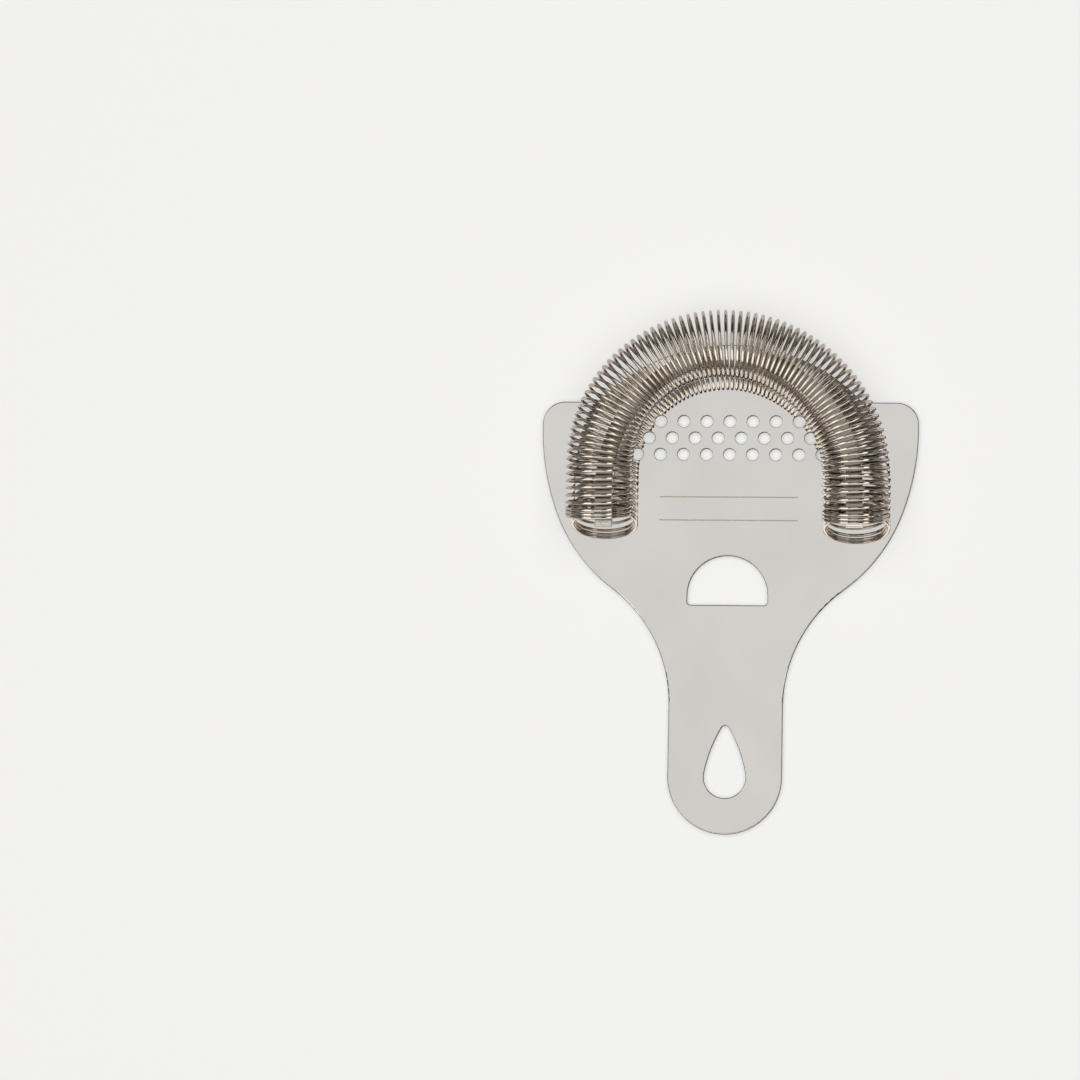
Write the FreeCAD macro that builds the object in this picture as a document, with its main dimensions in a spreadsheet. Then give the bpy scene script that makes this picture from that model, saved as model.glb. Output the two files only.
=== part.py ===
import FreeCAD, Part

import math
import os

import Sketcher

# Hawthorne strainer: a one-piece stainless plate and one coil of spring wire.
#
# The part lies on its back. The plate's smooth back is at Z = 0 and the coil stands up from its
# other face. +Y points to the front, where the coil shows past the plate, and -Y to the handle.
# Both sub-parts are drawn from the ear line, the straight top edge of the two ears, with X = 0 on
# the plate's centre line. Their Placement then puts the origin at the middle of the base.
# A size named "drop" is measured from the ear line towards the handle.

SIZES = {
    # plate outline
    "plate_thickness": 1.5,
    "edge_round": 0.3,
    "rim_round": 0.15,
    "ear_span": 106.0,
    "ear_corner_radius": 6.2,
    "front_rise": 16.5,
    "nick_inset": 14.0,
    "nick_radius": 4.0,
    "side_drop": 7.4,
    "side_radius": 69.7,
    "shoulder_drop": 32.1,
    "shoulder_radius": 47.2,
    "neck_radius": 40.8,
    "handle_width": 31.8,
    "handle_drop": 106.0,
    # finger hole, a half moon with its straight edge towards the handle
    "finger_width": 22.5,
    "finger_height": 14.0,
    "finger_drop": 57.8,
    "finger_corner_radius": 1.0,
    # hanging hole, a teardrop round the centre of the handle's end
    "hang_radius": 5.85,
    "hang_tip_radius": 1.2,
    "hang_tip_reach": 13.15,
    "hang_flank_radius": 40.0,
    # drain holes, in rows of seven, eight and nine
    "drain_diameter": 3.5,
    "drain_inset": 9.7,
    "drain_row_pitch": 4.74,
    "drain_drop": 5.53,
    # two engraved lines across the middle of the head
    "line_drop": 27.2,
    "line_spacing": 6.6,
    "line_inset": 6.7,
    "line_width": 0.35,
    "line_depth": 0.06,
    # the two tongues, cut from the plate and raised, that hold the coil
    "tongue_width": 4.6,
    "tongue_inset_share": 0.058,
    "tongue_arc_share": 0.29,
    "tongue_lag_share": 0.48,
    "tongue_clearance": 0.22,
    "tongue_tip_offset": 10.0,
    "tongue_bend_radius": 0.7,
    "tongue_bend_angle": 60,
    "tongue_climb_angle": 3.5,
    "slot_clearance": 0.15,
    # the coil
    "wire_diameter": 0.9,
    "coil_diameter": 19.0,
    "coil_gap": 0.1,
    "coil_inset": 17.3,
    "coil_overhang": 7.8,
    "arch_sway_share": 0.0224,
    "left_arm": 13.3,
    "right_arm": 14.2,
    "arch_pitch": 1.71,
    "arm_pitch": 2.0,
    "closed_gap": 0.06,
    "closed_turns": 2.0,
    "end_lean": 17.0,
    "lean_length": 31.0,
    "start_angle": 232.0,
}
DRAIN_ROWS = (7, 8, 9)

# Lengths that follow from the sizes, so that the coil, the tongues inside it and the holes beside
# it keep their fit when a size changes. The coil lies inside the ears and reaches past the front
# edge. The tongues' places are shares of the coil's inner radius.
WORKED_OUT = {
    "arch_radius": "ear_span / 2 - coil_inset",
    "arch_drop": "arch_radius + coil_diameter / 2 - front_rise - coil_overhang",
    "arch_sway": "arch_sway_share * arch_radius",
    "coil_inside": "coil_diameter / 2 - wire_diameter",
    "closed_pitch": "wire_diameter + closed_gap",
    "drain_pitch": f"( arch_radius - drain_inset ) / {(DRAIN_ROWS[-1] - 1) / 2}",
    "line_length": "2 * ( arch_radius - coil_diameter / 2 - line_inset )",
    "tongue_inset": "tongue_inset_share * coil_inside",
    "tongue_offset": "arch_radius - tongue_inset",
    "tongue_arc_radius": "arch_radius + tongue_arc_share * coil_inside",
    "tongue_arc_drop": "arch_drop + tongue_lag_share * coil_inside",
    "tongue_half_chord": "tongue_width / 2 + tongue_inset",
    "tongue_drop_inside": "sqrt( ( coil_inside - tongue_clearance ) ^ 2 - tongue_half_chord ^ 2 )",
    "tongue_lift": "coil_gap + wire_diameter + coil_inside - tongue_drop_inside",
    "bends_across": "2 * tongue_bend_radius + plate_thickness",
    "bends_depth": "tongue_bend_radius * ( 1 + cos( tongue_climb_angle * 1 deg ) )",
    "ramp_rise": "tongue_lift - bends_depth + bends_across * cos( tongue_bend_angle * 1 deg )",
    "ramp_run": "ramp_rise / tan( tongue_bend_angle * 1 deg )",
    "ramp_reach": "bends_across * sin( tongue_bend_angle * 1 deg ) + ramp_run",
    "lean_reach": "( coil_diameter - wire_diameter ) / 2 * sin( end_lean * 1 deg )",
    "tongue_root_drop": "arch_drop + max( left_arm ; right_arm ) - lean_reach + ramp_reach",
}

X_AXIS, Y_AXIS, CENTRE = -1, -2, (-1, 1)
START, END, MIDDLE = 1, 2, 3
V = FreeCAD.Vector
UP = V(0, 0, 1)

doc = FreeCAD.newDocument("hawthorne_strainer")
sheet = doc.addObject("Spreadsheet::Sheet", "Sizes")
for number, (name, value) in enumerate(SIZES.items(), start=1):
    sheet.set(f"A{number}", name)
    sheet.set(f"B{number}", str(value))
    sheet.setAlias(f"B{number}", name)
doc.recompute()


def cell(text):
    """An expression in which each size's name reads its cell of the sheet."""
    words = []
    for word in text.split():
        if word in SIZES:
            word = f"Sizes.{word}"
        elif word in WORKED_OUT:
            word = f"( {cell(WORKED_OUT[word])} )"
        words.append(word)
    return " ".join(words)


def size(name):
    """The value of a size, or of a length that follows from the sizes."""
    return float(sheet.evalExpression(cell(name)))


# Sketch helpers


def new_sketch(body, name, role="XY_Plane"):
    sketch = body.newObject("Sketcher::SketchObject", name)
    plane = next(f for f in body.Origin.OriginFeatures if f.Role == role)
    sketch.AttachmentSupport = [(plane, "")]
    sketch.MapMode = "FlatFace"
    return sketch


def as_drawn(sketch, kind, first, *rest):
    """What a dimension measures on the geometry as it is drawn."""
    if kind == "Radius":
        return sketch.Geometry[first].Radius
    if kind == "Angle":
        along = sketch.Geometry[first].EndPoint - sketch.Geometry[first].StartPoint
        return math.atan2(along.y, along.x)
    gap = sketch.getPoint(*rest[1:]) - sketch.getPoint(first, rest[0])
    return gap.x if kind == "DistanceX" else gap.y


def bind(sketch, expression, *constraint):
    """Adds a dimension whose value is an expression of the sheet's sizes."""
    drawn = as_drawn(sketch, *constraint)
    index = sketch.addConstraint(Sketcher.Constraint(*constraint, drawn))
    sketch.setExpression(f"Constraints[{index}]", cell(expression))


def tie(sketch, *constraint):
    sketch.addConstraint(Sketcher.Constraint(*constraint))


def line(sketch, start, end):
    return sketch.addGeometry(Part.LineSegment(V(*start, 0), V(*end, 0)))


def arc(sketch, centre, radius, start_angle, end_angle):
    """An arc that runs anticlockwise between two angles in radians."""
    circle = Part.Circle(V(*centre, 0), UP, radius)
    return sketch.addGeometry(Part.ArcOfCircle(circle, start_angle, end_angle))


def angle_to(centre, point):
    return math.atan2(point[1] - centre[1], point[0] - centre[0])


def towards(start, end, distance):
    """The point at a distance from start on the way to end."""
    share = distance / math.dist(start, end)
    return tuple(a + (b - a) * share for a, b in zip(start, end))


def pocket(body, sketch, name):
    """Cuts a sketch on the plate's back right through it."""
    feature = body.newObject("PartDesign::Pocket", name)
    feature.Profile = sketch
    feature.Type = "ThroughAll"
    feature.Reversed = True
    return feature


def mirrored(body, original, name):
    """Repeats a feature on the other side of the centre line."""
    feature = body.newObject("PartDesign::Mirrored", name)
    feature.Originals = [original]
    plane = next(f for f in body.Origin.OriginFeatures if f.Role == "YZ_Plane")
    feature.MirrorPlane = (plane, [""])
    body.Tip = feature
    return feature


# The plate: outline, holes, slots and engraved lines


def outline_sketch(body):
    """The right half of the outline, from the front crest round the ear to the handle's end."""
    sketch = new_sketch(body, "outline")
    half_span = size("ear_span") / 2
    half_handle = size("handle_width") / 2
    rise, nick = size("front_rise"), size("nick_radius")
    nick_centre = (half_span - size("nick_inset"), nick)
    front_radius = (nick_centre[0] ** 2 + rise**2 - 2 * nick * rise) / (2 * rise)
    front_centre = (0, rise - front_radius)
    nick_start = towards(front_centre, nick_centre, front_radius)
    side_centre = (half_span - size("side_radius"), -size("side_drop"))
    corner = size("ear_corner_radius")
    corner_reach = size("side_radius") - corner
    corner_x = side_centre[0] + math.sqrt(corner_reach**2 - (side_centre[1] + corner) ** 2)
    corner_centre = (corner_x, -corner)
    corner_end = towards(side_centre, corner_centre, size("side_radius"))
    shoulder_depth = size("shoulder_drop") - size("side_drop")
    shoulder_x = side_centre[0] + math.sqrt(size("side_radius") ** 2 - shoulder_depth**2)
    shoulder_start = (shoulder_x, -size("shoulder_drop"))
    shoulder_centre = towards(shoulder_start, side_centre, size("shoulder_radius"))
    neck_x = half_handle + size("neck_radius")
    neck_reach = size("shoulder_radius") + size("neck_radius")
    neck_y = shoulder_centre[1] - math.sqrt(neck_reach**2 - (neck_x - shoulder_centre[0]) ** 2)
    neck_centre = (neck_x, neck_y)
    neck_start = towards(shoulder_centre, neck_centre, size("shoulder_radius"))
    end_centre = (0, -size("handle_drop"))

    front = arc(
        sketch, front_centre, front_radius, angle_to(front_centre, nick_start), math.pi / 2
    )
    nick_arc = arc(
        sketch, nick_centre, nick, angle_to(nick_centre, nick_start) % math.tau, 1.5 * math.pi
    )
    ear = line(sketch, (nick_centre[0], 0), (corner_centre[0], 0))
    ear_corner = arc(
        sketch, corner_centre, corner, angle_to(corner_centre, corner_end), math.pi / 2
    )
    side = arc(
        sketch,
        side_centre,
        size("side_radius"),
        angle_to(side_centre, shoulder_start),
        angle_to(side_centre, corner_end),
    )
    shoulder = arc(
        sketch,
        shoulder_centre,
        size("shoulder_radius"),
        angle_to(shoulder_centre, neck_start),
        angle_to(shoulder_centre, shoulder_start),
    )
    neck = arc(
        sketch, neck_centre, size("neck_radius"), angle_to(neck_centre, neck_start), math.pi
    )
    edge = line(sketch, (half_handle, neck_centre[1]), (half_handle, end_centre[1]))
    end = arc(sketch, end_centre, half_handle, 1.5 * math.pi, math.tau)
    middle = line(sketch, (0, end_centre[1] - half_handle), (0, rise))

    tie(sketch, "PointOnObject", front, MIDDLE, Y_AXIS)
    tie(sketch, "PointOnObject", front, END, Y_AXIS)
    tie(sketch, "PointOnObject", middle, START, Y_AXIS)
    tie(sketch, "Coincident", middle, END, front, END)
    tie(sketch, "Tangent", front, START, nick_arc, START)
    tie(sketch, "Tangent", nick_arc, END, ear, START)
    tie(sketch, "Tangent", ear, END, ear_corner, END)
    tie(sketch, "Tangent", ear_corner, START, side, END)
    tie(sketch, "Tangent", side, START, shoulder, END)
    tie(sketch, "Tangent", shoulder, START, neck, START)
    tie(sketch, "Tangent", neck, END, edge, START)
    tie(sketch, "Tangent", edge, END, end, END)
    tie(sketch, "Coincident", end, START, middle, START)
    tie(sketch, "PointOnObject", end, MIDDLE, Y_AXIS)
    tie(sketch, "PointOnObject", ear, START, X_AXIS)
    tie(sketch, "Horizontal", ear)
    tie(sketch, "Vertical", edge)
    bind(sketch, "front_rise", "DistanceY", *CENTRE, front, END)
    bind(sketch, "nick_radius", "Radius", nick_arc)
    bind(sketch, "ear_span / 2 - nick_inset", "DistanceX", *CENTRE, nick_arc, MIDDLE)
    bind(sketch, "ear_corner_radius", "Radius", ear_corner)
    bind(sketch, "side_radius", "Radius", side)
    bind(sketch, "side_radius - ear_span / 2", "DistanceX", side, MIDDLE, *CENTRE)
    bind(sketch, "side_drop", "DistanceY", side, MIDDLE, *CENTRE)
    bind(sketch, "shoulder_drop", "DistanceY", side, START, *CENTRE)
    bind(sketch, "shoulder_radius", "Radius", shoulder)
    bind(sketch, "neck_radius", "Radius", neck)
    bind(sketch, "handle_width / 2", "Radius", end)
    bind(sketch, "handle_drop", "DistanceY", end, MIDDLE, *CENTRE)
    return sketch


def finger_sketch(body):
    """A half moon: a straight edge, two short sides and a half circle over them."""
    sketch = new_sketch(body, "finger_hole")
    half = size("finger_width") / 2
    low = -size("finger_drop")
    corner = size("finger_corner_radius")
    crown = (0, low + size("finger_height") - half)
    top = arc(sketch, crown, half, 0, math.pi)
    left = line(sketch, (-half, crown[1]), (-half, low + corner))
    left_corner = arc(sketch, (corner - half, low + corner), corner, math.pi, 1.5 * math.pi)
    base = line(sketch, (corner - half, low), (half - corner, low))
    right_corner = arc(sketch, (half - corner, low + corner), corner, 1.5 * math.pi, math.tau)
    right = line(sketch, (half, low + corner), (half, crown[1]))
    tie(sketch, "Tangent", top, END, left, START)
    tie(sketch, "Tangent", left, END, left_corner, START)
    tie(sketch, "Tangent", left_corner, END, base, START)
    tie(sketch, "Tangent", base, END, right_corner, START)
    tie(sketch, "Tangent", right_corner, END, right, START)
    tie(sketch, "Tangent", right, END, top, START)
    tie(sketch, "PointOnObject", top, MIDDLE, Y_AXIS)
    tie(sketch, "Horizontal", base)
    tie(sketch, "Vertical", left)
    tie(sketch, "Vertical", right)
    tie(sketch, "Equal", left_corner, right_corner)
    bind(sketch, "finger_width / 2", "Radius", top)
    bind(sketch, "finger_corner_radius", "Radius", left_corner)
    bind(sketch, "finger_drop", "DistanceY", base, START, *CENTRE)
    crown_drop = "finger_drop - finger_height + finger_width / 2"
    bind(sketch, crown_drop, "DistanceY", top, MIDDLE, *CENTRE)
    return sketch


def hanging_sketch(body):
    """A teardrop: a large arc and a small one, joined by two flanks that bulge a little."""
    sketch = new_sketch(body, "hanging_hole")
    large, small, reach = size("hang_radius"), size("hang_tip_radius"), size("hang_tip_reach")
    bulge = size("hang_flank_radius")
    low = -size("handle_drop")
    to_bowl, to_tip = bulge - large, bulge - small
    rise = (to_bowl**2 - to_tip**2 + reach**2) / (2 * reach)
    aside = math.sqrt(to_bowl**2 - rise**2)
    bowl_turn = math.atan2(-rise, aside)
    tip_turn = math.atan2(reach - rise, aside)

    bowl = arc(sketch, (0, low), large, math.pi - bowl_turn, math.tau + bowl_turn)
    tip = arc(sketch, (0, low + reach), small, tip_turn, math.pi - tip_turn)
    right = arc(sketch, (-aside, low + rise), bulge, bowl_turn, tip_turn)
    left = arc(sketch, (aside, low + rise), bulge, math.pi - tip_turn, math.pi - bowl_turn)
    tie(sketch, "Tangent", bowl, END, right, START)
    tie(sketch, "Tangent", right, END, tip, START)
    tie(sketch, "Tangent", tip, END, left, START)
    tie(sketch, "Tangent", left, END, bowl, START)
    tie(sketch, "PointOnObject", bowl, MIDDLE, Y_AXIS)
    tie(sketch, "PointOnObject", tip, MIDDLE, Y_AXIS)
    bind(sketch, "hang_radius", "Radius", bowl)
    bind(sketch, "hang_tip_radius", "Radius", tip)
    bind(sketch, "hang_flank_radius", "Radius", right)
    bind(sketch, "hang_flank_radius", "Radius", left)
    bind(sketch, "handle_drop", "DistanceY", bowl, MIDDLE, *CENTRE)
    bind(sketch, "hang_tip_reach", "DistanceY", bowl, MIDDLE, tip, MIDDLE)
    return sketch


def drain_sketch(body):
    """Rows of round holes, each row half a pitch wider to each side than the one before it."""
    sketch = new_sketch(body, "drain_holes")
    radius, pitch = size("drain_diameter") / 2, size("drain_pitch")
    for row, count in enumerate(DRAIN_ROWS):
        row_drop = f"drain_drop + {row} * drain_row_pitch"
        for place in range(count):
            shift = place - (count - 1) / 2
            centre = V(shift * pitch, -size(row_drop), 0)
            hole = sketch.addGeometry(Part.Circle(centre, UP, radius))
            bind(sketch, "drain_diameter / 2", "Radius", hole)
            bind(sketch, row_drop, "DistanceY", hole, MIDDLE, *CENTRE)
            if shift == 0:
                tie(sketch, "PointOnObject", hole, MIDDLE, Y_AXIS)
            elif shift > 0:
                bind(sketch, f"{shift} * drain_pitch", "DistanceX", *CENTRE, hole, MIDDLE)
            else:
                bind(sketch, f"{-shift} * drain_pitch", "DistanceX", hole, MIDDLE, *CENTRE)
    return sketch


def strip_sketch(sketch, margin, root):
    """The plan of the right tongue, or of its slot when margin widens it: a straight run from the
    root, then an arc towards the front that ends in a round tip. Both arguments are expressions."""
    radius = size("tongue_arc_radius")
    half = size(f"tongue_width / 2 + {margin}")
    centre = (size("tongue_offset") - radius, -size("tongue_arc_drop"))
    tip_angle = math.acos((size("tongue_tip_offset") - centre[0]) / radius)
    tip_centre = (size("tongue_tip_offset"), centre[1] + radius * math.sin(tip_angle))
    outer_x, inner_x = centre[0] + radius + half, centre[0] + radius - half
    low = -size(root)

    outer = arc(sketch, centre, radius + half, 0, tip_angle)
    inner = arc(sketch, centre, radius - half, 0, tip_angle)
    tip = arc(sketch, tip_centre, half, tip_angle, tip_angle + math.pi)
    outer_run = line(sketch, (outer_x, low), (outer_x, centre[1]))
    inner_run = line(sketch, (inner_x, centre[1]), (inner_x, low))
    base = line(sketch, (inner_x, low), (outer_x, low))
    tie(sketch, "Tangent", outer_run, END, outer, START)
    tie(sketch, "Tangent", outer, END, tip, START)
    tie(sketch, "Tangent", tip, END, inner, END)
    tie(sketch, "Tangent", inner, START, inner_run, START)
    tie(sketch, "Coincident", inner_run, END, base, START)
    tie(sketch, "Coincident", base, END, outer_run, START)
    tie(sketch, "Horizontal", base)
    tie(sketch, "Vertical", outer_run)
    tie(sketch, "Vertical", inner_run)
    tie(sketch, "Horizontal", outer, START, inner, START)
    bind(sketch, f"tongue_arc_radius + tongue_width / 2 + {margin}", "Radius", outer)
    bind(sketch, f"tongue_width / 2 + {margin}", "Radius", tip)
    bind(sketch, "tongue_arc_radius - tongue_offset", "DistanceX", outer, MIDDLE, *CENTRE)
    bind(sketch, "tongue_arc_drop", "DistanceY", outer, MIDDLE, *CENTRE)
    bind(sketch, "tongue_tip_offset", "DistanceX", *CENTRE, tip, MIDDLE)
    bind(sketch, root, "DistanceY", base, START, *CENTRE)


def tongue_profile(sketch):
    """The tongue seen from the side, Y to the right and Z up: flat in the plate, up through two
    bends, then a straight run that climbs gently towards the tip."""
    thick, inside = size("plate_thickness"), size("tongue_bend_radius")
    outside = inside + thick
    slope = math.radians(size("tongue_bend_angle"))
    climb = math.radians(size("tongue_climb_angle"))
    ramp_run, ramp_rise = size("ramp_run"), size("ramp_rise")
    root = -size("tongue_root_drop")
    buried = root - thick
    far = size("front_rise")
    low_centre = (root, thick + inside)

    def beside(centre, radius, angle):
        """The point at a distance from a bend's centre, square to a run at that angle."""
        return (centre[0] - radius * math.sin(angle), centre[1] + radius * math.cos(angle))

    top_foot, under_foot = beside(low_centre, -inside, slope), beside(low_centre, -outside, slope)
    top_head = (top_foot[0] + ramp_run, top_foot[1] + ramp_rise)
    under_head = (under_foot[0] + ramp_run, under_foot[1] + ramp_rise)
    high_centre = beside(under_head, -inside, slope)
    top_run, under_run = beside(high_centre, outside, climb), beside(high_centre, inside, climb)
    top_far = (far, top_run[1] + (far - top_run[0]) * math.tan(climb))
    under_far = (far, under_run[1] + (far - under_run[0]) * math.tan(climb))
    down, quarter = 1.5 * math.pi, math.pi / 2

    flat = line(sketch, (buried, thick), (root, thick))
    low_bend = arc(sketch, low_centre, inside, down, down + slope)
    rise = line(sketch, top_foot, top_head)
    high_bend = arc(sketch, high_centre, outside, quarter + climb, quarter + slope)
    run = line(sketch, top_run, top_far)
    face = line(sketch, top_far, under_far)
    under_line = line(sketch, under_far, under_run)
    under_high = arc(sketch, high_centre, inside, quarter + climb, quarter + slope)
    under_rise = line(sketch, under_head, under_foot)
    under_low = arc(sketch, low_centre, outside, down, down + slope)
    back = line(sketch, (root, 0), (buried, 0))
    heel = line(sketch, (buried, 0), (buried, thick))

    tie(sketch, "Tangent", flat, END, low_bend, START)
    tie(sketch, "Tangent", low_bend, END, rise, START)
    tie(sketch, "Tangent", rise, END, high_bend, END)
    tie(sketch, "Tangent", high_bend, START, run, START)
    tie(sketch, "Coincident", run, END, face, START)
    tie(sketch, "Coincident", face, END, under_line, START)
    tie(sketch, "Tangent", under_line, END, under_high, START)
    tie(sketch, "Tangent", under_high, END, under_rise, START)
    tie(sketch, "Tangent", under_rise, END, under_low, END)
    tie(sketch, "Tangent", under_low, START, back, START)
    tie(sketch, "Coincident", back, END, heel, START)
    tie(sketch, "Coincident", heel, END, flat, START)
    tie(sketch, "PointOnObject", back, START, X_AXIS)
    tie(sketch, "Horizontal", back)
    tie(sketch, "Vertical", heel)
    tie(sketch, "Vertical", face)
    tie(sketch, "Coincident", low_bend, MIDDLE, under_low, MIDDLE)
    tie(sketch, "Coincident", high_bend, MIDDLE, under_high, MIDDLE)
    bind(sketch, "plate_thickness", "DistanceY", heel, START, heel, END)
    bind(sketch, "plate_thickness", "DistanceX", back, END, back, START)
    bind(sketch, "tongue_root_drop", "DistanceX", back, START, *CENTRE)
    bind(sketch, "tongue_bend_radius", "Radius", low_bend)
    bind(sketch, "tongue_bend_radius", "Radius", under_high)
    bind(sketch, "plate_thickness + tongue_lift", "DistanceY", *CENTRE, under_high, START)
    bind(sketch, "front_rise", "DistanceX", *CENTRE, face, START)
    bind(sketch, "tongue_bend_angle * 1 deg", "Angle", rise)
    bind(sketch, "tongue_climb_angle * 1 deg", "Angle", run)


def line_sketch(body):
    """Two thin bars across the head, on the plate's upper face."""
    sketch = new_sketch(body, "engraved_lines")
    sketch.setExpression(".AttachmentOffset.Base.z", cell("plate_thickness"))
    half_length = size("line_length") / 2
    for place in range(2):
        low_drop = f"line_drop + {place} * line_spacing + line_width / 2"
        high_drop = f"line_drop + {place} * line_spacing - line_width / 2"
        low, high = -size(low_drop), -size(high_drop)
        base = line(sketch, (-half_length, low), (half_length, low))
        right = line(sketch, (half_length, low), (half_length, high))
        top = line(sketch, (half_length, high), (-half_length, high))
        left = line(sketch, (-half_length, high), (-half_length, low))
        tie(sketch, "Coincident", base, END, right, START)
        tie(sketch, "Coincident", right, END, top, START)
        tie(sketch, "Coincident", top, END, left, START)
        tie(sketch, "Coincident", left, END, base, START)
        tie(sketch, "Horizontal", base)
        tie(sketch, "Horizontal", top)
        tie(sketch, "Vertical", right)
        tie(sketch, "Vertical", left)
        bind(sketch, low_drop, "DistanceY", base, START, *CENTRE)
        bind(sketch, high_drop, "DistanceY", top, START, *CENTRE)
        bind(sketch, "line_length / 2", "DistanceX", base, START, *CENTRE)
        bind(sketch, "line_length", "DistanceX", base, START, base, END)
    return sketch


def flat_edges(shape, keep):
    """Names of the edges that lie in the plate's back or upper face and that keep() accepts."""
    names = []
    for number, edge in enumerate(shape.Edges, start=1):
        box = edge.BoundBox
        level = box.ZLength < 0.001
        on_face = min(abs(box.ZMin), abs(box.ZMin - size("plate_thickness"))) < 0.001
        if level and on_face and keep(edge):
            names.append(f"Edge{number}")
    return names


def rounded(body, feature, name, radius, keep):
    """Rounds the rims of a feature, on both faces of the plate."""
    doc.recompute()
    fillet = body.newObject("PartDesign::Fillet", name)
    fillet.Base = (feature, flat_edges(feature.Shape, keep))
    fillet.setExpression("Radius", cell(radius))
    return fillet


def make_blank():
    """The flat plate with all its openings, before the tongues."""
    body = doc.addObject("PartDesign::Body", "plate_blank")
    pad = body.newObject("PartDesign::Pad", "half_plate")
    pad.Profile = outline_sketch(body)
    pad.setExpression("Length", cell("plate_thickness"))
    mirrored(body, pad, "whole_plate")
    pocket(body, finger_sketch(body), "finger_opening")
    hanging = pocket(body, hanging_sketch(body), "hanging_opening")
    rounded(body, hanging, "edge_rounding", "edge_round", lambda edge: True)
    drains = pocket(body, drain_sketch(body), "drain_openings")
    rim = size("drain_diameter") / 2
    rounded(
        body,
        drains,
        "drain_rounding",
        "rim_round",
        lambda edge: isinstance(edge.Curve, Part.Circle) and abs(edge.Curve.Radius - rim) < 0.001
        and edge.isClosed(),
    )
    slot = new_sketch(body, "slot")
    strip_sketch(slot, "slot_clearance", "tongue_root_drop")
    right_slot = pocket(body, slot, "right_slot")
    mirrored(body, right_slot, "both_slots")
    lines = body.newObject("PartDesign::Pocket", "engraving")
    lines.Profile = line_sketch(body)
    lines.setExpression("Length", cell("line_depth"))
    return body


def make_tongue():
    """The right tongue: its plan raised into a block, kept where the side profile covers it."""
    plan = doc.addObject("Sketcher::SketchObject", "tongue_plan")
    strip_sketch(plan, "0", "tongue_root_drop + plate_thickness")
    side = doc.addObject("Sketcher::SketchObject", "tongue_side")
    side.Placement = FreeCAD.Placement(V(), FreeCAD.Rotation(V(1, 1, 1), 120))
    tongue_profile(side)
    block = doc.addObject("Part::Extrusion", "tongue_block")
    block.Base, block.Dir, block.Solid = plan, UP, True
    block.setExpression("LengthFwd", cell("coil_diameter"))
    sheet_metal = doc.addObject("Part::Extrusion", "tongue_sheet")
    sheet_metal.Base, sheet_metal.Dir, sheet_metal.Solid = side, V(1, 0, 0), True
    sheet_metal.setExpression("LengthFwd", cell("ear_span / 2"))
    tongue = doc.addObject("Part::Common", "tongue_right")
    tongue.Base, tongue.Tool = block, sheet_metal
    return tongue


def make_plate():
    tongue = make_tongue()
    other = doc.addObject("Part::Mirroring", "tongue_left")
    other.Source, other.Normal = tongue, V(1, 0, 0)
    plate = doc.addObject("Part::MultiFuse", "strainer_plate")
    plate.Shapes = [make_blank(), tongue, other]
    plate.Refine = True
    return plate


# The coil: one wire wound right-handed about an axis that runs up one arm, round the arch and
# down the other. A helix bends in space all the way, so its wire is laid out as short circular
# arcs, four to a turn, each tangent to the next.


def axis_place(run):
    """Where the coil's axis is after a run along it, with its direction and outward normal. The
    arch sways a little outwards on its left half and inwards on its right half."""
    radius, left = size("arch_radius"), size("left_arm")
    bend = min(max((run - left) / radius, 0), math.pi)
    out = V(-math.cos(bend), math.sin(bend), 0)
    along = V(math.sin(bend), math.cos(bend), 0)
    straight = min(run - left, 0) + max(run - left - math.pi * radius, 0)
    swayed = radius + size("arch_sway") * math.sin(2 * bend)
    return V(0, -size("arch_drop"), 0) + out * swayed + along * straight, along, out


def axis_length():
    return size("left_arm") + math.pi * size("arch_radius") + size("right_arm")


def blend(value, low, high):
    """0 up to low and 1 from high, in a straight line between them."""
    return min(max((value - low) / (high - low), 0), 1)


def pitch_at(run):
    """The distance between turns: touching at the ends, open on the arms, closer on the arch."""
    closed = size("closed_turns") * size("closed_pitch")
    from_end = min(run, axis_length() - run)
    opening = blend(from_end, closed, closed + size("arm_pitch"))
    arm = size("left_arm") if run < axis_length() / 2 else size("right_arm")
    arching = blend(from_end, arm - size("arm_pitch"), arm + size("arm_pitch"))
    open_pitch = size("arm_pitch") + (size("arch_pitch") - size("arm_pitch")) * arching
    return size("closed_pitch") + (open_pitch - size("closed_pitch")) * opening


def lean_at(run):
    """How far a turn leans, in radians: its top is tipped towards the nearer end of the wire."""
    closed = size("closed_turns") * size("closed_pitch")
    from_end = min(run, axis_length() - run)
    share = (1 - blend(from_end, closed, closed + size("lean_length"))) ** 2
    side = -1 if run < axis_length() / 2 else 1
    return side * share * math.radians(size("end_lean"))


def wire_point(run, angle):
    """A point on the wire's centre line, at an angle round the coil from its outer side."""
    radius = (size("coil_diameter") - size("wire_diameter")) / 2
    place, along, out = axis_place(run)
    lean = lean_at(run)
    rise = size("plate_thickness") + size("coil_gap") + size("wire_diameter") / 2
    centre = place + UP * (rise + radius * math.cos(lean))
    tall = UP * math.cos(lean) + along * math.sin(lean)
    return centre + out * (radius * math.cos(angle)) + tall * (radius * math.sin(angle))


def wire_stations():
    """Points on the wire every half turn, each with the wire's direction there."""
    run, angle = 0.0, math.radians(size("start_angle"))
    stations = []
    while run < axis_length():
        nudge = 0.001
        gain = pitch_at(run) / math.tau * nudge
        ahead, behind = wire_point(run + gain, angle + nudge), wire_point(run - gain, angle - nudge)
        stations.append((wire_point(run, angle), (ahead - behind).normalize()))
        middle_run = run + pitch_at(run) / 4
        run += pitch_at(middle_run) / 2
        angle += math.pi
    return stations


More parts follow.
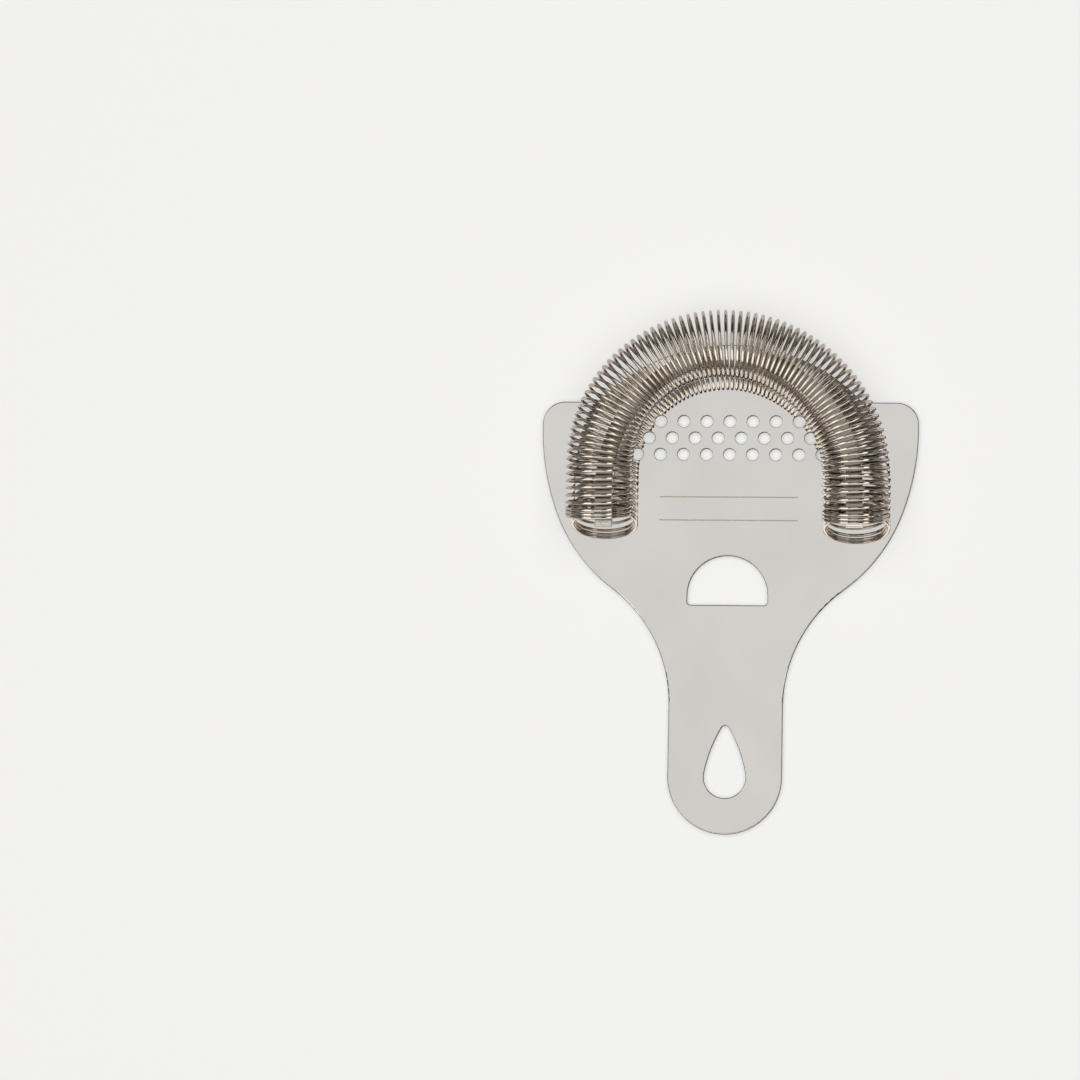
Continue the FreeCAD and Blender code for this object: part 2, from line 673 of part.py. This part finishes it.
def two_arcs(start, start_way, end, end_way):
    """Splits the way between two stations into two arcs that share a tangent: gives the start,
    the direction there and the end of each."""
    chord, ways = end - start, start_way + end_way
    a, b, c = 4 - ways.dot(ways), 2 * chord.dot(ways), -chord.dot(chord)
    reach = (-b + math.sqrt(b * b - 4 * a * c)) / (2 * a)
    first, second = start + start_way * reach, end - end_way * reach
    join = (first + second) * 0.5
    return (start, start_way, join), (join, (second - first).normalize(), end)


def swept(ring, start, way, end):
    """Turns a ring of wire about the arc's centre: gives the tube's face and the ring at its end."""
    chord = end - start
    normal = way.cross(chord).normalize()
    inward = normal.cross(way)
    radius = chord.dot(chord) / (2 * chord.dot(inward))
    centre = start + inward * radius
    half_angle = math.asin(min(chord.Length / (2 * radius), 1.0))
    turn = math.degrees(2 * half_angle)
    face = ring.copy()
    face = face.revolve(centre, normal, turn)
    far_ring = ring.copy()
    far_ring.rotate(centre, normal, turn)
    return face, far_ring


def make_coil():
    stations = wire_stations()
    start, way = stations[0]
    ring = Part.makeCircle(size("wire_diameter") / 2, start, way)
    faces = [Part.Face(Part.Wire([ring]))]
    for (here, here_way), (there, there_way) in zip(stations, stations[1:]):
        for begin, direction, finish in two_arcs(here, here_way, there, there_way):
            face, ring = swept(ring, begin, direction, finish)
            faces.append(face)
    faces.append(Part.Face(Part.Wire([ring])))
    skin = Part.Compound(faces)
    skin.sewShape()
    coil = doc.addObject("Part::Feature", "coil_spring")
    coil.Shape = Part.makeSolid(skin.Shells[0])
    return coil


# Build, place, check and write


def check(item):
    faults = [state for state in item.State if state in ("Invalid", "Error")]
    if faults:
        raise RuntimeError(f"{item.Label} is {faults}")


def main():
    sub_parts = [make_plate(), make_coil()]
    doc.recompute()
    to_middle = "( handle_drop + handle_width / 2 - front_rise - coil_overhang ) / 2"
    for item in sub_parts:
        item.Label = item.Name
        item.setExpression(".Placement.Base.y", cell(to_middle))
    doc.recompute()
    for item in doc.Objects:
        check(item)
    os.makedirs("parts", exist_ok=True)
    for item in sub_parts:
        shape = item.Shape
        if shape.isNull() or not shape.isValid() or len(shape.Solids) != 1:
            raise RuntimeError(f"{item.Label} is not one valid solid")
        shape.exportStep(os.path.join("parts", f"{item.Label}.step"))
        box = shape.BoundBox
        print(item.Label, round(shape.Volume, 1), box)


main()
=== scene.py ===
import math

import bpy
from mathutils import Matrix, Vector


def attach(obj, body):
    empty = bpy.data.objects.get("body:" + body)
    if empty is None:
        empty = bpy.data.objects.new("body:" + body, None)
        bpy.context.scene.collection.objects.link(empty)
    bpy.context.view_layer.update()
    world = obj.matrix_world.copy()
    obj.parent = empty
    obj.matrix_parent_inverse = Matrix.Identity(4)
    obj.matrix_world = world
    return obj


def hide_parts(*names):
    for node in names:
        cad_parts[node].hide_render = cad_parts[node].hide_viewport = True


# A hawthorne strainer on a pale table under a large soft light. The plate is the CAD node with a
# polished steel finish. The coil is wound again here as one smooth tube on the CAD coil's own line.

MM = 0.001

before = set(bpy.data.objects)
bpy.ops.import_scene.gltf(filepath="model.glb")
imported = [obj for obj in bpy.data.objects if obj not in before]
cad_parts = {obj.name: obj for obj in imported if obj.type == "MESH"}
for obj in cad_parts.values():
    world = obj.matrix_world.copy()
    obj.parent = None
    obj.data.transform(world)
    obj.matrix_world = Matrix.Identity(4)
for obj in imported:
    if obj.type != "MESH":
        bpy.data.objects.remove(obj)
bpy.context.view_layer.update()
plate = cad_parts["strainer_plate"]


# Material helpers


def new_material(name):
    material = bpy.data.materials.new(name)
    material.use_nodes = True
    nodes = material.node_tree.nodes
    return material, nodes, material.node_tree.links, nodes["Principled BSDF"]


def add(nodes, kind, **settings):
    node = nodes.new(kind)
    for name, value in settings.items():
        if name in node.inputs:
            node.inputs[name].default_value = value
        else:
            setattr(node, name, value)
    return node


def noise(nodes, links, coordinates, scale, detail=2.0, stretch=(1, 1, 1)):
    """A noise value whose scale counts per metre of the object."""
    mapping = add(nodes, "ShaderNodeMapping")
    mapping.inputs["Scale"].default_value = stretch
    links.new(coordinates, mapping.inputs["Vector"])
    texture = add(nodes, "ShaderNodeTexNoise", Scale=scale, Detail=detail)
    links.new(mapping.outputs["Vector"], texture.inputs["Vector"])
    return texture.outputs["Fac"]


def mapped(nodes, links, value, low, high, new_low, new_high):
    """A value taken from one range to another and held inside it."""
    node = add(nodes, "ShaderNodeMapRange")
    links.new(value, node.inputs["Value"])
    for name, number in (
        ("From Min", low),
        ("From Max", high),
        ("To Min", new_low),
        ("To Max", new_high),
    ):
        node.inputs[name].default_value = number
    return node.outputs["Result"]


def maths(nodes, links, operation, *values):
    node = add(nodes, "ShaderNodeMath", operation=operation)
    for socket, value in zip(node.inputs, values):
        if isinstance(value, (int, float)):
            socket.default_value = value
        else:
            links.new(value, socket)
    return node.outputs["Value"]


def mixed(nodes, links, share, first, second):
    """A colour between two colours, each a socket or an RGB triple."""
    node = add(nodes, "ShaderNodeMix", data_type="RGBA")
    links.new(share, node.inputs["Factor"])
    for socket, colour in ((node.inputs[6], first), (node.inputs[7], second)):
        if isinstance(colour, tuple):
            socket.default_value = (*colour, 1)
        else:
            links.new(colour, socket)
    return node.outputs[2]


def bump(nodes, links, height, strength, distance, below=None):
    node = add(nodes, "ShaderNodeBump", Strength=strength, Distance=distance)
    links.new(height, node.inputs["Height"])
    if below is not None:
        links.new(below, node.inputs["Normal"])
    return node.outputs["Normal"]


# Sizes of the part that the looks need, in millimetres from the ear line, as the CAD has them

PLATE_THICKNESS = 1.5
LINE_DROPS = (27.2, 33.8)
LINE_LENGTH, LINE_WIDTH = 39.0, 0.35
WIRE, COIL, COIL_GAP = 0.9, 19.0, 0.1
ARCH_RADIUS, ARCH_DROP, ARCH_SWAY = 35.7, 20.9, 0.8
LEFT_ARM, RIGHT_ARM = 13.3, 14.2
ARCH_PITCH, ARM_PITCH, CLOSED_PITCH = 1.71, 2.0, 0.96
CLOSED_TURNS, END_LEAN, LEAN_LENGTH, START_ANGLE = 2.0, 17.0, 31.0, 232.0
HANDLE_REACH = 106.0 + 31.8 / 2
FRONT_REACH = ARCH_RADIUS + COIL / 2 - ARCH_DROP
EAR_LINE = (HANDLE_REACH - FRONT_REACH) / 2


# Colours of the metal, with painted shade on the cut edges and on the raised tongues

FACE_COLOURS = (0.735, 0.722, 0.705), (0.775, 0.765, 0.745)
# Painted shade: the cut edges are coloured near black to stand for the dark surroundings and shadow
# that their walls mirror
EDGE_SHADE_COLOURS = (0.03, 0.03, 0.03), (0.10, 0.095, 0.09)
ETCHED_COLOUR = (0.69, 0.61, 0.54)
# Painted shade: the tongues' raised parts inside the coil are darkened to stand for the wires'
# shade and dark reflections over them
TONGUE_SHADE_COLOUR = (0.30, 0.28, 0.24)
WIRE_COLOURS = (0.68, 0.62, 0.555), (0.775, 0.725, 0.665)


# The plate's finish


def above_face(nodes, links, level, low, high):
    """A mask that goes from 0 to 1 between two heights over the plate's face, in millimetres."""
    return mapped(
        nodes, links, level, (PLATE_THICKNESS + low) * MM, (PLATE_THICKNESS + high) * MM, 0, 1
    )


def edge_mask(nodes, links, level, steep):
    """1 on the sheet's cut edges and rounded rims and on the tongues' side walls, else 0. The
    bends and the ramps, which lie over the sheet's face, stay out of it."""
    upright = maths(nodes, links, "ABSOLUTE", steep)
    rim = mapped(nodes, links, upright, 0.92, 0.6, 0, 1)
    on_sheet = above_face(nodes, links, level, 0.2, 0.1)
    wall = mapped(nodes, links, upright, 0.4, 0.2, 0, 1)
    rim = maths(nodes, links, "MULTIPLY", rim, on_sheet)
    return maths(nodes, links, "MAXIMUM", rim, wall)


def etched_mask(nodes, links, axes):
    """1 on the two engraved lines of the upper face, else 0."""
    across = maths(nodes, links, "ABSOLUTE", axes["X"])
    half_length, half_width = LINE_LENGTH / 2 * MM, LINE_WIDTH / 2 * MM
    along = mapped(nodes, links, across, half_length, half_length - 0.1 * MM, 0, 1)
    marks = []
    for drop in LINE_DROPS:
        offset = maths(nodes, links, "SUBTRACT", axes["Y"], (EAR_LINE - drop) * MM)
        away = maths(nodes, links, "ABSOLUTE", offset)
        marks.append(mapped(nodes, links, away, half_width * 1.2, half_width * 0.8, 0, 1))
    lines = maths(nodes, links, "MULTIPLY", maths(nodes, links, "ADD", *marks), along)
    return maths(nodes, links, "MULTIPLY", lines, above_face(nodes, links, axes["Z"], -0.3, -0.2))


def plate_material():
    material, nodes, links, steel = new_material("polished_plate")
    place = add(nodes, "ShaderNodeTexCoord").outputs["Object"]
    normal = add(nodes, "ShaderNodeNewGeometry").outputs["Normal"]
    axes = add(nodes, "ShaderNodeSeparateXYZ")
    links.new(place, axes.inputs["Vector"])
    facing = add(nodes, "ShaderNodeSeparateXYZ")
    links.new(normal, facing.inputs["Vector"])

    # The cut-edge mask sets the painted shade on the edges below, and also their rougher, less
    # metallic finish
    cut_edge = edge_mask(nodes, links, axes.outputs["Z"], facing.outputs["Z"])
    etched = etched_mask(nodes, links, axes.outputs)
    # Painted shade on the tongues' raised parts inside the coil, standing for the shade and dark
    # reflections of the wires above
    under_coil_shade = above_face(nodes, links, axes.outputs["Z"], 2.8, 3.1)

    cloud = noise(nodes, links, place, 38, detail=3)
    tint = mapped(nodes, links, cloud, 0.35, 0.65, 0, 1)
    face = mixed(nodes, links, tint, *FACE_COLOURS)
    # Painted shade on the cut edges and rims: near black with random streaks, for the dark that the
    # walls mirror
    streak = noise(nodes, links, place, 160, detail=4, stretch=(6, 1, 1))
    edge_shade = mixed(nodes, links, streak, *EDGE_SHADE_COLOURS)
    colour = mixed(nodes, links, etched, face, ETCHED_COLOUR)
    colour = mixed(nodes, links, under_coil_shade, colour, TONGUE_SHADE_COLOUR)
    colour = mixed(nodes, links, cut_edge, colour, edge_shade)
    links.new(colour, steel.inputs["Base Color"])

    smudge = noise(nodes, links, place, 120, detail=6)
    shine = mapped(nodes, links, smudge, 0.3, 0.75, 0.015, 0.04)
    shine = maths(nodes, links, "ADD", shine, maths(nodes, links, "MULTIPLY", etched, 0.35))
    shine = maths(nodes, links, "ADD", shine, maths(nodes, links, "MULTIPLY", cut_edge, 0.25))
    links.new(shine, steel.inputs["Roughness"])

    rolling = bump(nodes, links, noise(nodes, links, place, 45, detail=1), 0.12, 0.0001)
    grain = noise(nodes, links, place, 900, detail=4, stretch=(3, 0.25, 1))
    polish = bump(nodes, links, grain, 0.06, 0.00002, rolling)
    links.new(polish, steel.inputs["Normal"])
    metal = mapped(nodes, links, cut_edge, 0, 1, 1, 0.25)
    links.new(metal, steel.inputs["Metallic"])
    links.new(
        mapped(nodes, links, cut_edge, 0, 1, 0.5, 0.1), steel.inputs["Specular IOR Level"]
    )
    return material


def wire_material():
    material, nodes, links, steel = new_material("spring_wire")
    place = add(nodes, "ShaderNodeTexCoord").outputs["Object"]
    drawn = add(nodes, "ShaderNodeUVMap", uv_map="wire_map").outputs["UV"]
    cloud = noise(nodes, links, place, 90, detail=3)
    tint = mapped(nodes, links, cloud, 0.35, 0.65, 0, 1)
    colour = mixed(nodes, links, tint, *WIRE_COLOURS)
    links.new(colour, steel.inputs["Base Color"])
    lines = noise(nodes, links, drawn, 40, detail=3, stretch=(1.5, 1, 1))
    links.new(mapped(nodes, links, lines, 0.3, 0.7, 0.05, 0.10), steel.inputs["Roughness"])
    links.new(bump(nodes, links, lines, 0.08, 0.00002), steel.inputs["Normal"])
    steel.inputs["Metallic"].default_value = 1.0
    return material


# The coil


def blend(value, low, high):
    return min(max((value - low) / (high - low), 0), 1)


AXIS_LENGTH = LEFT_ARM + math.pi * ARCH_RADIUS + RIGHT_ARM
CLOSED_LENGTH = CLOSED_TURNS * CLOSED_PITCH


def axis_place(run):
    """Where the coil's axis is after a run along it, with its direction and outward normal."""
    bend = min(max((run - LEFT_ARM) / ARCH_RADIUS, 0), math.pi)
    out = Vector((-math.cos(bend), math.sin(bend), 0))
    along = Vector((math.sin(bend), math.cos(bend), 0))
    straight = min(run - LEFT_ARM, 0) + max(run - LEFT_ARM - math.pi * ARCH_RADIUS, 0)
    swayed = ARCH_RADIUS + ARCH_SWAY * math.sin(2 * bend)
    return Vector((0, EAR_LINE - ARCH_DROP, 0)) + out * swayed + along * straight, along, out


def pitch_at(run):
    """The distance between turns: touching at the ends, open on the arms, closer on the arch."""
    from_end = min(run, AXIS_LENGTH - run)
    arm = LEFT_ARM if run < AXIS_LENGTH / 2 else RIGHT_ARM
    arching = blend(from_end, arm - ARM_PITCH, arm + ARM_PITCH)
    opening = blend(from_end, CLOSED_LENGTH, CLOSED_LENGTH + ARM_PITCH)
    open_pitch = ARM_PITCH + (ARCH_PITCH - ARM_PITCH) * arching
    return CLOSED_PITCH + (open_pitch - CLOSED_PITCH) * opening


def wire_point(run, angle):
    """A point on the wire's centre line, at an angle round the coil from its outer side."""
    radius = (COIL - WIRE) / 2
    place, along, out = axis_place(run)
    from_end = min(run, AXIS_LENGTH - run)
    share = (1 - blend(from_end, CLOSED_LENGTH, CLOSED_LENGTH + LEAN_LENGTH)) ** 2
    lean = math.copysign(share * math.radians(END_LEAN), run - AXIS_LENGTH / 2)
    tall = Vector((0, 0, math.cos(lean))) + along * math.sin(lean)
    low = PLATE_THICKNESS + COIL_GAP + WIRE / 2
    centre = place + Vector((0, 0, low + radius * math.cos(lean)))
    return centre + out * (radius * math.cos(angle)) + tall * (radius * math.sin(angle))


STEPS, SIDES = 48, 12


def wire_line():
    """The wire's centre line, STEPS points to a turn."""
    run, angle = 0.0, math.radians(START_ANGLE)
    points = []
    while run < AXIS_LENGTH:
        points.append(wire_point(run, angle))
        run += pitch_at(run + pitch_at(run) / (2 * STEPS)) / STEPS
        angle += math.tau / STEPS
    return points


def wire_mesh():
    """One tube of the wire's diameter along its line, closed by a disc at each cut end."""
    points = wire_line()
    ways = []
    for number in range(len(points)):
        ahead = points[min(number + 1, len(points) - 1)]
        behind = points[max(number - 1, 0)]
        ways.append((ahead - behind).normalized())
    side = ways[0].orthogonal().normalized()
    vertices, faces, map_corners = [], [], []
    length = 0.0
    lengths = []
    for number, (point, way) in enumerate(zip(points, ways)):
        if number:
            length += (point - points[number - 1]).length
            side = (side - way * side.dot(way)).normalized()
        lengths.append(length)
        other = way.cross(side)
        for step in range(SIDES):
            turn = math.tau * step / SIDES
            spoke = side * math.cos(turn) + other * math.sin(turn)
            vertices.append((point + spoke * (WIRE / 2)) * MM)
    for ring in range(len(points) - 1):
        for step in range(SIDES):
            following = (step + 1) % SIDES
            low, high = ring * SIDES, (ring + 1) * SIDES
            faces.append((low + step, low + following, high + following, high + step))
            left, right = lengths[ring], lengths[ring + 1]
            map_corners += [
                (left, step / SIDES), (left, (step + 1) / SIDES),
                (right, (step + 1) / SIDES), (right, step / SIDES),
            ]
    last = (len(points) - 1) * SIDES
    faces.append(tuple(reversed(range(SIDES))))
    faces.append(tuple(last + step for step in range(SIDES)))
    map_corners += [(0, 0)] * SIDES + [(length, 0)] * SIDES
    mesh = bpy.data.meshes.new("coil_wire")
    mesh.from_pydata(vertices, [], faces)
    layer = mesh.uv_layers.new(name="wire_map")
    layer.data.foreach_set("uv", [number for corner in map_corners for number in corner])
    mesh.polygons.foreach_set("use_smooth", [True] * (len(faces) - 2) + [False, False])
    mesh.update()
    return mesh


coil = bpy.data.objects.new("coil_wire", wire_mesh())
bpy.context.scene.collection.objects.link(coil)
coil.data.materials.append(wire_material())
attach(coil, "spring")
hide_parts("coil_spring")

plate.material_slots[0].material = plate_material()


# The table, the lights and the camera

FLOOR_COLOUR = (0.885, 0.892, 0.88)
FLOOR_GLOW = 0.45
ROOM_COLOUR = (0.035, 0.022, 0.014)
PANEL_COLOUR = (1, 0.96, 0.90)
LENS, SENSOR = 120.07, 36.0
EYE_PLACE = (0.05358, -0.14498, 1.0)
EYE_TILTS = (8.859, 5.89, 1.345)


def flat_sheet(name, width, height, place):
    mesh = bpy.data.meshes.new(name)
    corners = [(-1, -1), (1, -1), (1, 1), (-1, 1)]
    mesh.from_pydata([(x * width / 2, y * height / 2, 0) for x, y in corners], [], [(0, 1, 2, 3)])
    sheet = bpy.data.objects.new(name, mesh)
    bpy.context.scene.collection.objects.link(sheet)
    sheet.matrix_world = place
    return sheet


def facing_place(place, target):
    """A matrix at a place whose -Z axis points at the target."""
    way = (Vector(target) - Vector(place)).normalized()
    return Matrix.Translation(place) @ way.to_track_quat("-Z", "Y").to_matrix().to_4x4()


def table():
    floor = flat_sheet("table_top", 8, 8, Matrix.Translation((0, 0, -0.0002)))
    material, nodes, links, matte = new_material("table_paint")
    place = add(nodes, "ShaderNodeTexCoord").outputs["Object"]
    cloud = noise(nodes, links, place, 3, detail=2)
    links.new(
        mixed(nodes, links, cloud, FLOOR_COLOUR, tuple(c * 0.99 for c in FLOOR_COLOUR)),
        matte.inputs["Base Color"],
    )
    matte.inputs["Roughness"].default_value = 0.9
    matte.inputs["Specular IOR Level"].default_value = 0.0
    matte.inputs["Emission Color"].default_value = (*FLOOR_COLOUR, 1)
    matte.inputs["Emission Strength"].default_value = FLOOR_GLOW
    floor.data.materials.append(material)
    floor.visible_glossy = False


def reflector(name, azimuth, elevation, across, tall, radiance, colour, distance=1.4):
    """A glowing panel that only the metal's reflections see. It hangs in a direction from the
    object, with azimuth 0 on the handle's side and 90 on the right, and spans two angles."""
    turn, climb = math.radians(azimuth), math.radians(elevation)
    level = math.cos(climb) * distance
    place = Vector((math.sin(turn) * level, -math.cos(turn) * level, math.sin(climb) * distance))
    width = 2 * distance * math.tan(math.radians(across / 2))
    height = 2 * distance * math.tan(math.radians(tall / 2))
    panel = flat_sheet(name, width, height, facing_place(place, (0, 0, 0)))
    material = bpy.data.materials.new(name)
    material.use_nodes = True
    nodes = material.node_tree.nodes
    nodes.clear()
    glow = add(nodes, "ShaderNodeEmission", Strength=radiance)
    glow.inputs["Color"].default_value = (*colour, 1)
    output = add(nodes, "ShaderNodeOutputMaterial")
    material.node_tree.links.new(glow.outputs[0], output.inputs["Surface"])
    panel.data.materials.append(material)
    panel.visible_camera = False
    panel.visible_diffuse = False
    panel.visible_shadow = False


def soft_light(name, place, target, width, height, energy):
    """A large soft light for the table, which the metal doesn't mirror."""
    light = bpy.data.lights.new(name, "AREA")
    light.shape = "RECTANGLE"
    light.size, light.size_y = width, height
    light.energy = energy
    lamp = bpy.data.objects.new(name, light)
    bpy.context.scene.collection.objects.link(lamp)
    lamp.matrix_world = facing_place(place, target)
    lamp.visible_camera = False
    lamp.visible_glossy = False


def room():
    world = bpy.data.worlds.new("studio")
    bpy.context.scene.world = world
    world.use_nodes = True
    background = world.node_tree.nodes["Background"]
    background.inputs["Color"].default_value = (*ROOM_COLOUR, 1)
    background.inputs["Strength"].default_value = 1.0


def camera():
    data = bpy.data.cameras.new("camera")
    data.sensor_width = SENSOR
    data.lens = LENS
    data.clip_start, data.clip_end = 0.01, 20
    eye = bpy.data.objects.new("camera", data)
    bpy.context.scene.collection.objects.link(eye)
    eye.rotation_euler = [math.radians(tilt) for tilt in EYE_TILTS]
    eye.location = EYE_PLACE
    bpy.context.scene.camera = eye


table()
room()
reflector("overhead_box", 195, 79, 26, 32, 0.84, (1, 0.985, 0.965))
reflector("handle_box", -8, 41, 100, 40, 1.5, PANEL_COLOUR)
reflector("left_box", -90, 54, 60, 26, 1.5, PANEL_COLOUR)
reflector("right_box", 90, 52, 60, 16, 1.5, PANEL_COLOUR)
for azimuth in (0, 90, 180, 270):
    reflector(f"horizon_{azimuth}", azimuth, 10, 90, 26, 0.22, (1, 0.97, 0.93), 2.0)
reflector("table_glow", 0, -90, 150, 150, 0.56, (1, 0.955, 0.935), 0.4)
soft_light("table_light", (0, 0, 2.0), (0, 0, 0), 3.0, 3.0, 36)
camera()

view = bpy.context.scene.view_settings
view.view_transform = "Standard"
view.look = "None"
